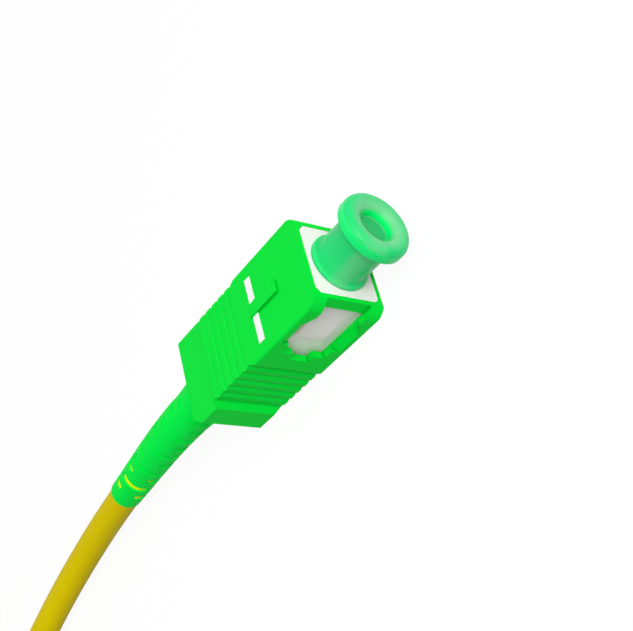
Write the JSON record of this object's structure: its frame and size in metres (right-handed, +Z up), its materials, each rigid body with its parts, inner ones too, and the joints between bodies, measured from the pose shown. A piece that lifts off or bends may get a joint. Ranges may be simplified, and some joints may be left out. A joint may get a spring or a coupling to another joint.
{
  "type": "sc fibre connector",
  "caption": "Push-pull SC fibre connector with an angled ferrule, slotted strain-relief boot, pull-off dust cap and a simplex cable with its spare length tied in a hank",
  "frame": {"origin": "middle of the flat underside of the housing's front section, on the surface the connector lies on", "axes": "+X along the connector towards its mating end, +Z up through the key face, +Y to the left seen from behind"},
  "size_m": [0.144, 0.0298, 0.0138],
  "materials": {
    "housing_green": "moulded satin",
    "frame_white": "moulded satin",
    "zirconia": "polished ceramic",
    "silica": "polished",
    "steel": "turned",
    "plated_brass": "nickel plated",
    "aramid": "yarn",
    "crimp_aluminium": "crimped",
    "buffer_white": "extruded",
    "boot_green": "moulded elastomer",
    "cap_green": "translucent moulding",
    "jacket_yellow": "extruded",
    "tie_nylon": "moulded"
  },
  "bodies": {
    "plug": {"plug_frame": "frame_white", "stop_body": "plated_brass", "spring": "steel", "aramid_yarn": "aramid", "crimp_sleeve": "crimp_aluminium", "tight_buffer": "buffer_white", "boot": "boot_green", "cable": "jacket_yellow", "cable_hank": "jacket_yellow", "hank_tie_1": "tie_nylon", "hank_tie_2": "tie_nylon"},
    "housing": {"outer_housing": "housing_green", "position_marks": "frame_white"},
    "ferrule_core": {"ferrule": "zirconia", "optical_fibre": "silica", "ferrule_holder": "steel"},
    "cap": {"dust_cap": "cap_green"}
  },
  "joints": [
    {"name": "housing_slide", "type": "slide", "parent": "plug", "child": "housing", "axis": [-1, 0, 0], "range_m": [0, 0.0015]},
    {"name": "ferrule_float", "type": "slide", "parent": "plug", "child": "ferrule_core", "axis": [-1, 0, 0], "range_m": [0, 0.001], "stiffness_N_per_m": 200, "deforming": ["spring"]},
    {"name": "cap_pull", "type": "slide", "parent": "plug", "child": "cap", "axis": [1, 0, 0], "range_m": [0, 0.012]}
  ]
}
